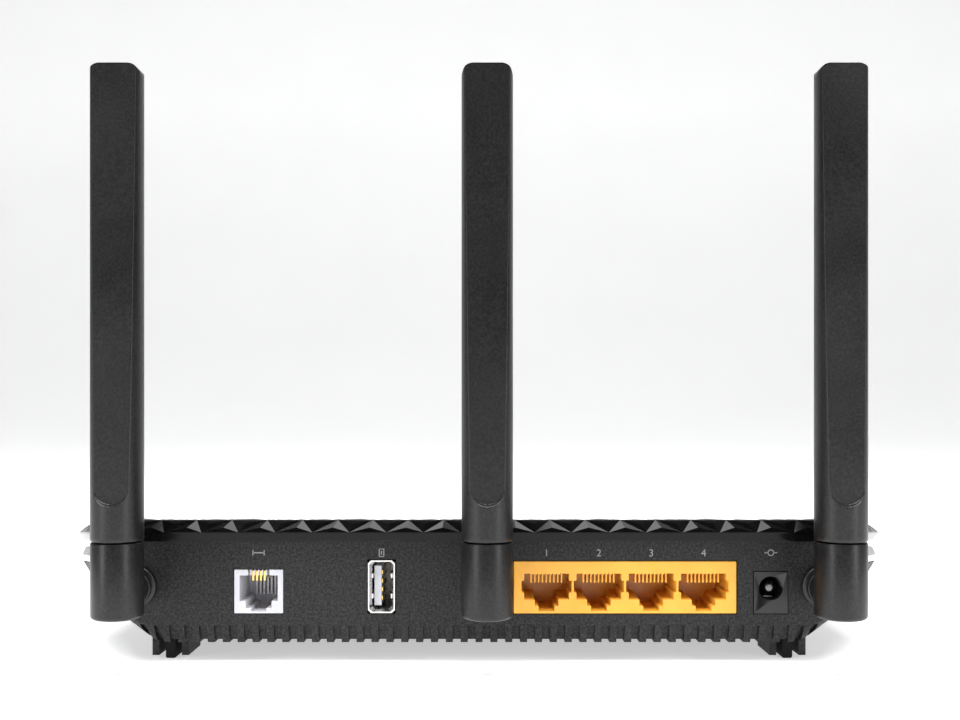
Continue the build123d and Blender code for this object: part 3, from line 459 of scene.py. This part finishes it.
def facetedCover():
    c = coverShape
    coarse, steps = c["crestCorners"], c["ridgeSteps"]
    fine = coarse * steps
    crestLoop, slotLoop = bodyLoop(c["crestInset"], c["crestRear"], coarse), slotOutline()
    lattice, latticeLift = facetLattice(crestLoop, slotLoop)
    plan, tris = sheetBetween(crestLoop, lattice, slotLoop)
    top = onSlope(plan, c["crest"])
    top[:coarse, 2] += c["edgeLift"] * mm
    top[coarse + len(slotLoop):, 2] += latticeLift * mm
    # rings from the ridge down round the rim and up the inside to the underside
    under = c["crest"] - c["wall"]
    rings = [(inset, inset - c["overhang"], height) for inset, height in c["rimProfile"]]
    rings += [(c["lipInset"], c["wallRear"], c["lipLow"]), (c["wallInset"], c["wallRear"], under)]
    around = [onSlope(bodyLoop(inset, rear, fine), height) for inset, rear, height in rings]
    bandStart = len(top)
    lowStart = bandStart + len(rings) * fine
    ringFaces = np.array(gridFaces(len(rings), fine, True)) + bandStart
    # each crest corner stands over its share of the ridge, and each crest edge hangs one
    # triangle down to it
    corner = np.arange(coarse)
    half = steps // 2
    ridge = bandStart + (corner[:, None] * steps + np.arange(-half, half + 1)) % fine
    hanging = np.stack([corner, ridge[:, -1], (corner + 1) % coarse], axis=-1)
    standing = np.concatenate([corner[:, None], ridge], axis=1)
    # underside, and the wall of the window's slot
    lowLoop = bodyLoop(c["wallInset"], c["wallRear"], fine)
    lowPlan, lowTris = sheetBetween(lowLoop, np.zeros((0, 2)), slotLoop)
    here = np.arange(len(slotLoop))
    ahead = np.roll(here, -1)
    wallEnds = [coarse + here, lowStart + fine + here, lowStart + fine + ahead, coarse + ahead]
    slotWall = np.stack(wallEnds, axis=-1)
    verts = np.concatenate([top, *around, onSlope(lowPlan, under)])
    faces = ringFaces.tolist() + (lowTris + lowStart).tolist() + slotWall.tolist()
    for loops, ends, height in (
        (tris, tris, c["facetPoint"]),
        (hanging, hanging, c["bandPoint"]),
        (standing, standing[:, [0, 1, -1]], c["bandPoint"]),
    ):
        points, slants = raisedPoints(verts, loops, ends, height * mm)
        verts = np.concatenate([verts, points])
        faces += slants.tolist()
    return verts, faces


def mergedMesh(name, verts, faces):
    # points that meet become one, and all faces are turned outwards
    mesh = bpy.data.meshes.new(name)
    mesh.from_pydata(verts.tolist(), [], faces)
    work = bmesh.new()
    work.from_mesh(mesh)
    bmesh.ops.remove_doubles(work, verts=work.verts, dist=1e-6)
    bmesh.ops.recalc_face_normals(work, faces=work.faces)
    work.to_mesh(mesh)
    work.free()
    return mesh


def skirtShell():
    # a wall standing inside the shadow gap, from one rear corner round the front to the other
    c = coverShape
    outer = bodyLoop(c["skirtInset"], 0, 720)
    inner = bodyLoop(c["skirtInset"] + c["skirtWall"], c["skirtWall"], 720)
    kept = outer[:, 1] > c["skirtStart"] * mm
    low, high = c["skirtLow"], c["crest"] - c["wall"] + c["skirtOverlap"]
    section = [(outer, low), (outer, high), (inner, high), (inner, low)]
    return tubeShell(np.stack([onSlope(loop[kept], height) for loop, height in section], axis=1))


coverMesh = mergedMesh("facetCover", *facetedCover())
addPiece("facetCover", coverMesh, "housing", "cover_gloss", replaced=["top_cover"], sharp=2)
addShells("coverSkirt", [skirtShell()], "housing", "cover_gloss", replaced=["top_cover"])
print("cover made")


antennaShape = {
    "radius": 6.5,
    "barrelY": -15.0,  # axis of the barrel, from the panel
    "barrelLow": 15.3,
    "barrelRound": 1.0,
    "seam": 34.5,
    "seamGap": 0.3,
    "seamRound": 0.3,
    "seamHeight": 0.35,
    "top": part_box("antenna_blade_left")[1].z / mm,
    "topCorner": 3.0,
    "flatLow": 44.3,  # foot of the flat
    "flatRound": 4.35,  # radius of its U
    "flatOffsets": (4.92, 3.12),  # from the axis, at the foot and at the top
    "lipSlope": 3.0,
    "lipStep": 0.16,
    "lipSoftness": 0.22,
    "rim": ((0, -0.35), (-0.1, -0.1), (-0.35, 0)),  # from the radius and from the seam
    "axleRadius": 0.4,
    "pivotRadius": 4.05,
    "pivotLow": 24.7,
    "catchRadius": 4.8,
    "catchLow": 22.9,
    "hubHeight": 20.8,
    "neck": ((4.6, -9.8), (4.6, -4.4), (4.8, -4.2), (4.8, -2.6), (4.3, -2.4), (4.3, -2.1)),
    "collar": ((5.2, -2.0), (5.5, -1.7), (5.5, -0.3)),
    "shaft": ((3.4, -0.3), (3.4, 4.0), (2.9, 4.0), (2.9, 5.1), (3.4, 5.1), (3.4, 6.3)),
}


def softMin(a, b, softness):
    # the smaller of two values, with the join rounded over
    h = np.clip(0.5 + (b - a) / (2 * softness), 0, 1)
    return b * (1 - h) + a * h - softness * h * (1 - h)


def bladeLevels(low):
    # heights of the sections, close together at the seam, at the foot of the flat and at the top
    s = antennaShape
    foot, corner = s["flatLow"], s["topCorner"]
    cornerStart = s["top"] - corner
    seam = [low, low + 0.12, low + s["seamHeight"]]
    barrel = np.linspace(low + 1, foot - 1, 8)
    lip = np.arange(foot - 0.8, foot + 6, s["lipStep"])
    straight = np.linspace(lip[-1] + 0.8, cornerStart, 60)
    arc = cornerStart + corner * np.sin(np.linspace(0, np.pi / 2, 20)[1:])
    return np.r_[seam, barrel, lip, straight, arc]


def bladeShell(x0):
    # a section's half thickness is the smaller of the round, sqrt(radius^2 - x^2), and the
    # flat, which rises steeply outside its own U outline
    s = antennaShape
    low, top, radius, corner = s["seam"] + s["seamGap"], s["top"], s["radius"], s["topCorner"]
    around = np.linspace(0, 2 * np.pi, 192, endpoint=False)
    angle, height = np.meshgrid(around, bladeLevels(low))
    # the lowest edge is rounded: r = radius - round + sqrt(round^2 - (height left)^2)
    left = s["seamHeight"] - np.minimum(height - low, s["seamHeight"])
    edge = np.sqrt(np.clip(s["seamRound"] ** 2 - left**2, 0, None)) - s["seamRound"]
    r = radius + np.where(left > 0, np.minimum(0, edge), 0)
    x, roundY = r * np.cos(angle), r * np.abs(np.sin(angle))
    along = (height - s["flatLow"]) / (top - s["flatLow"])
    offset = s["flatOffsets"][0] + (s["flatOffsets"][1] - s["flatOffsets"][0]) * along
    below = np.minimum(height - s["flatLow"] - s["flatRound"], 0)
    width = s["flatRound"] + np.clip(along, 0, 1) * (radius - s["flatRound"])
    outside = np.sqrt(x**2 + below**2) - np.where(below < 0, s["flatRound"], width)
    flat = offset + s["lipSlope"] * np.maximum(outside, 0)
    facing = np.where(np.abs(np.sin(angle)) < 1e-9, 0, np.sign(np.sin(angle)))
    y = softMin(roundY, flat, s["lipSoftness"]) * facing
    # the two upper corners are arcs seen from the rear
    risen = np.clip(height - (top - corner), 0, corner)
    reach = radius - corner + np.sqrt(np.clip(corner**2 - risen**2, 0, None))
    x = np.clip(x, -reach, reach)
    depth = panelY + (s["barrelY"] + y) * mm
    return tubeShell(np.stack([x0 + x * mm, depth, height * mm], axis=-1))


def knuckleShells(x0):
    # an upright barrel, hollow above for the pivot, and a neck lying along the hub's axis
    s = antennaShape
    low, seam, radius, bend = s["barrelLow"], s["seam"], s["radius"], s["barrelRound"]
    barrel = [(s["axleRadius"], low)]
    for t in np.linspace(0, np.pi / 2, 10):
        barrel.append((radius - bend + bend * math.sin(t), low + bend - bend * math.cos(t)))
    barrel += [(radius + out, seam + up) for out, up in s["rim"]]
    barrel += [(s["pivotRadius"], seam), (s["pivotRadius"], s["pivotLow"])]
    barrel += [(s["catchRadius"], s["pivotLow"]), (s["catchRadius"], s["catchLow"])]
    barrel += [(s["axleRadius"], s["catchLow"])]
    neck = [*s["neck"], *s["collar"], *s["shaft"]]
    upright = turnedShell(np.array(barrel) * mm, (x0, panelY + s["barrelY"] * mm, 0), 2)
    lying = turnedShell(np.array(neck) * mm, (x0, panelY, s["hubHeight"] * mm), 1)
    return [upright, lying]


for side in ("left", "middle", "right"):
    blade, knuckle = f"blade_{side}", f"knuckle_{side}"
    x0 = middleOf(f"antenna_{blade}")[0]
    for piece, shells, sharp in (
        (blade, [bladeShell(x0)], 50),
        (knuckle, knuckleShells(x0), 40),
    ):
        addShells(piece, shells, piece, "antenna_black", replaced=[f"antenna_{piece}"], sharp=sharp)
print("antennas made")


springShape = {
    "length": 6.0,
    "width": 1.2,
    "thickness": 0.25,
    "bulge": 0.7,
    "roundness": 0.8,
    "start": 0.9,  # behind the panel's face
    "apart": 5.4,
    "wallX": 2.55,
}


def springTab(x, z, inward):
    # a strip that starts at the shell and bows inwards: x = bulge sin(pi t), made blunter
    s = springShape
    t = np.linspace(0, 1, 16)
    bow = inward * s["bulge"] * np.sin(np.pi * t) ** s["roundness"]
    across = np.array([(-1, -1), (1, -1), (1, 1), (-1, 1)]) / 2
    points = np.zeros((len(t), len(across), 3))
    points[..., 0] = x + (bow[:, None] + across[:, 0] * s["thickness"]) * mm
    points[..., 1] = panelY + (s["start"] + s["length"] * t)[:, None] * mm
    points[..., 2] = z + across[:, 1] * s["width"] * mm
    return tubeShell(points)


usbX, _, usbZ = middleOf("usb_shell")
springs = []
for wallSide in (-1, 1):
    springX = usbX + wallSide * springShape["wallX"] * mm
    for level in (-0.5, 0.5):
        springs.append(springTab(springX, usbZ + level * springShape["apart"] * mm, -wallSide))
addShells("usbSprings", springs, "housing", "plated_steel")


combShape = {
    "socketPitch": 13.97,
    "teeth": 9,
    "pitch": 1.02,
    "size": (0.36, 3.2, 2.6),
    "setBack": 0.9,  # behind the panel's face
    "roofDrop": 3.3,  # top of the block to the roof of a cavity
    "sink": 0.1,  # of a tooth into the roof
}


def rowOf(count, pitch, middle):
    # places of equal pitch either side of the middle
    return [middle + (k - (count - 1) / 2) * pitch * mm for k in range(count)]


def blocks(centres, size):
    # upright blocks of one size, each at its own middle
    corner = np.array([(x, y, z) for z in (-1, 1) for x, y in ((-1, -1), (1, -1), (1, 1), (-1, 1))])
    box = corner / 2 * np.array(size) * mm
    return [tubeShell((np.array(centre) + box).reshape(2, 4, 3)) for centre in centres]


lanPlaces = rowOf(4, combShape["socketPitch"], middleOf("lan_socket_block")[0])
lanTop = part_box("lan_socket_block")[1].z
toothY = panelY + (combShape["setBack"] + combShape["size"][1] / 2) * mm
toothZ = lanTop - (combShape["roofDrop"] + combShape["size"][2] / 2 - combShape["sink"]) * mm
toothX = [x for place in lanPlaces for x in rowOf(combShape["teeth"], combShape["pitch"], place)]
teeth = blocks([(x, toothY, toothZ) for x in toothX], combShape["size"])
addShells("lanCombs", teeth, "housing", "socket_yellow", sharp=30)


phoneShape = {
    "pitch": 1.02,
    "bars": 6,
    "barSize": (0.5, 1.6, 6.4),
    "barDepth": 10.8,
    "barHeight": 6.6,  # middle of a bar over the socket's floor
    "tips": 4,
    "tipSize": (0.46, 0.4, 2.6),
    "tipDepth": 0.8,
    "tipDrop": 1.7,  # middle of a tip under the socket's top
}
phoneLow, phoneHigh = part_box("phone_socket")
phoneX = middleOf("phone_socket")[0]
barY = panelY + phoneShape["barDepth"] * mm
barZ = phoneLow.z + phoneShape["barHeight"] * mm
barX = rowOf(phoneShape["bars"], phoneShape["pitch"], phoneX)
bars = blocks([(x, barY, barZ) for x in barX], phoneShape["barSize"])
addShells("phoneComb", bars, "housing", "socket_white", sharp=30)

# gold ends of the line contacts, standing in the slots over the cavity
tipY = panelY + phoneShape["tipDepth"] * mm
tipZ = phoneHigh.z - phoneShape["tipDrop"] * mm
tipX = rowOf(phoneShape["tips"], phoneShape["pitch"], phoneX)
tips = blocks([(x, tipY, tipZ) for x in tipX], phoneShape["tipSize"])
addShells("phoneTips", tips, "housing", "contact_gold", sharp=30)
print("socket details made")


# numbers over the network sockets, plain shapes over the others
markShape = {
    "level": 29.6,
    "stroke": 0.3,
    "proud": 0.03,
    "sink": 0.02,
    "ring": 0.75,
    "numberSize": 2.7,
    "numberDrop": 0.95,
}


def stroke(points, x0):
    # a line of even width lying on the panel, at (x, z) millimetres from the mark's middle
    s, p = markShape, np.array(points, float)
    along = np.gradient(p, axis=0)
    along /= np.linalg.norm(along, axis=1, keepdims=True)
    aside = np.stack([-along[:, 1], along[:, 0]], axis=-1) * s["stroke"] / 2
    section = ((1, s["sink"]), (1, -s["proud"]), (-1, -s["proud"]), (-1, s["sink"]))
    ring = np.zeros((len(p), len(section), 3))
    for k, (edge, out) in enumerate(section):
        ring[:, k, 0] = p[:, 0] + edge * aside[:, 0]
        ring[:, k, 1] = out
        ring[:, k, 2] = p[:, 1] + edge * aside[:, 1]
    return tubeShell(ring * mm + np.array([x0, panelY, s["level"] * mm]))


def addNumber(number, x0):
    # a figure made flat as text, then stood up on the panel
    curve = bpy.data.curves.new(f"number{number}", "FONT")
    curve.body = str(number)
    curve.size = markShape["numberSize"] * mm
    curve.extrude = markShape["proud"] * mm
    curve.align_x = "CENTER"
    text = bpy.data.objects.new(f"text{number}", curve)
    bpy.context.scene.collection.objects.link(text)
    bpy.context.view_layer.update()
    depsgraph = bpy.context.evaluated_depsgraph_get()
    flat = bpy.data.meshes.new_from_object(text.evaluated_get(depsgraph))
    foot = (markShape["level"] - markShape["numberDrop"]) * mm
    standUp = Matrix.Rotation(math.pi / 2, 4, "X")
    flat.transform(Matrix.Translation((x0, panelY, foot)) @ standUp)
    bpy.data.objects.remove(text)
    addPiece(f"number{number}", flat, "housing", "socket_white", inkWhite, sharp=0)


turnAngle = np.linspace(0, 2 * np.pi, 33)
ringMark = np.stack([np.cos(turnAngle), np.sin(turnAngle)], axis=-1) * markShape["ring"]
frameMark = [(-0.6, -1), (0.6, -1), (0.6, 1), (-0.6, 1), (-0.6, -1)]
marks = {
    "phone_socket": [
        [(-1.5, 0), (-0.6, 0), (0.6, 0), (1.5, 0)],
        [(-1.5, -0.7), (-1.5, 0), (-1.5, 0.7)],
        [(1.5, -0.7), (1.5, 0), (1.5, 0.7)],
    ],
    "usb_shell": [frameMark, [(0, -0.5), (0, 0.5)]],
    "power_socket": [ringMark, [(-1.7, 0), (-0.75, 0)], [(0.75, 0), (1.7, 0)]],
}
strokes = [stroke(line, middleOf(node)[0]) for node, lines in marks.items() for line in lines]
addShells("portMarks", strokes, "housing", "socket_white", material=inkWhite, sharp=0)
for number, place in enumerate(lanPlaces, 1):
    addNumber(number, place)
print("marks made")


# the other nodes keep their own shape, with softened edges and their finish
copyShape = {"merge": 2e-6, "flatAngle": 0.6, "sharpAngle": 30, "edgeAngle": 40, "edgeSegments": 2}
softEdges = {
    "trim_band": 0.25,
    "rear_panel": 0.15,
    "lan_socket_block": 0.25,
    "phone_socket": 0.3,
    "rubber_feet": 0.3,
    "power_button": 0.2,
    "wireless_button": 0.2,
    "status_window": 0.15,
    "usb_tongue": 0.15,
    "bottom_shell": 0.12,
}
# the power socket's pin and contact take the darker steel, which paints in the shade of their place
# deep in the socket
shadedSocketMetal = ("power_pin", "power_contact")


def cadCopy(node):
    # the node's shape with its triangles merged, so that round faces shade smoothly
    s, name = copyShape, f"look_{node}"
    work = bmesh.new()
    work.from_mesh(frame["nodes"][node].data)
    bmesh.ops.remove_doubles(work, verts=work.verts, dist=s["merge"])
    flatAngle = math.radians(s["flatAngle"])
    bmesh.ops.dissolve_limit(work, angle_limit=flatAngle, verts=work.verts, edges=work.edges)
    mesh = bpy.data.meshes.new(name)
    work.to_mesh(mesh)
    work.free()
    # painted shade: the socket's pin and contact get the darker steel instead of their plated
    # finish
    material = shadedPinSteel if node in shadedSocketMetal else None
    piece = addPiece(
        name, mesh, bodyOf[node], slotOf[node], material, replaced=[node], sharp=s["sharpAngle"]
    )
    if node in softEdges:
        edge = piece.modifiers.new("softEdge", "BEVEL")
        edge.width = softEdges[node] * mm
        edge.segments = s["edgeSegments"]
        edge.limit_method = "ANGLE"
        edge.angle_limit = math.radians(s["edgeAngle"])
        edge.use_clamp_overlap = True
        edge.harden_normals = True


replaced = set()
for piece in bpy.context.scene.objects:
    replaced |= set(piece.get("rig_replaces", ()))
for node in frame["nodes"]:
    if node not in replaced:
        cadCopy(node)
print("CAD pieces finished")


stageShape = {
    "glow": 0.5,
    "floorReach": 12.0,
    "halfWidth": 4.0,
    "backdropDistance": 1.6,
    "backdropRadius": 0.9,
    "backdropTop": 3.0,
    "skyColour": (0.95, 0.97, 1.0),
    "skyStrength": 0.12,
}


def sweepStage():
    # floor, quarter round and upright backdrop as one profile drawn out along X
    s = stageShape
    start, radius = s["backdropDistance"], s["backdropRadius"]
    turn = np.linspace(0, np.pi / 2, 32)
    y = np.r_[-s["floorReach"], start + radius * np.sin(turn), start + radius]
    z = np.r_[0, radius * (1 - np.cos(turn)), s["backdropTop"]]
    x = np.full(len(y), s["halfWidth"])
    points = np.stack([np.stack([end * x, y, z], axis=-1) for end in (-1, 1)])
    mesh = bpy.data.meshes.new("studioFloor")
    mesh.from_pydata(points.reshape(-1, 3).tolist(), [], gridFaces(2, len(y), False))
    mesh.shade_smooth()
    return mesh


def paleFloor():
    material, nodes, links, shader, place = newMaterial("paleFloor")
    slow = grain(nodes, links, place, 6.0)
    tone = ramp(nodes, links, slow, 0.3, 0.7, (0.86, 0.86, 0.86), (0.9, 0.9, 0.9))
    links.new(tone, shader.inputs["Base Color"])
    shader.inputs["Roughness"].default_value = 0.7
    shader.inputs["Specular IOR Level"].default_value = 0.2
    shader.inputs["Emission Color"].default_value = (1, 1, 1, 1)
    shader.inputs["Emission Strength"].default_value = stageShape["glow"]
    return material


floor = bpy.data.objects.new("studioFloor", sweepStage())
bpy.context.scene.collection.objects.link(floor)
floor.data.materials.append(paleFloor())


def softbox(name, location, target, size, power):
    # a rectangular light turned to face its target
    light = bpy.data.lights.new(name, "AREA")
    light.shape = "RECTANGLE"
    light.size, light.size_y = size
    light.energy = power
    box = bpy.data.objects.new(name, light)
    box.location = location
    facing = Vector(target) - Vector(location)
    box.rotation_euler = facing.to_track_quat("-Z", "Y").to_euler()
    bpy.context.scene.collection.objects.link(box)


for end, name in ((-1, "leftSoftbox"), (1, "rightSoftbox")):
    softbox(name, (end * 0.55, -0.5, 0.25), (0, 0, 0.08), size=(0.1, 0.6), power=1.8)
softbox("topSoftbox", (0, -0.3, 1.0), (0, 0, 0), size=(0.9, 0.5), power=20)

world = bpy.data.worlds.new("studio")
bpy.context.scene.world = world
world.use_nodes = True
background = world.node_tree.nodes["Background"]
background.inputs["Color"].default_value = (*stageShape["skyColour"], 1)
background.inputs["Strength"].default_value = stageShape["skyStrength"]
bpy.context.scene.view_settings.view_transform = "Standard"
print("stage made")


cameraShape = {"distance": 0.280, "height": 0.0682, "lens": 39.375, "shift": (0.001, 0.05)}
camera = bpy.data.objects.new("camera", bpy.data.cameras.new("camera"))
camera.data.lens = cameraShape["lens"]
camera.data.sensor_width = 36
camera.data.shift_x, camera.data.shift_y = cameraShape["shift"]
camera.data.clip_start = 0.01
camera.data.clip_end = 20
camera.location = (0, panelY - cameraShape["distance"], cameraShape["height"])
camera.rotation_euler = (math.pi / 2, 0, 0)
bpy.context.scene.collection.objects.link(camera)
bpy.context.scene.camera = camera
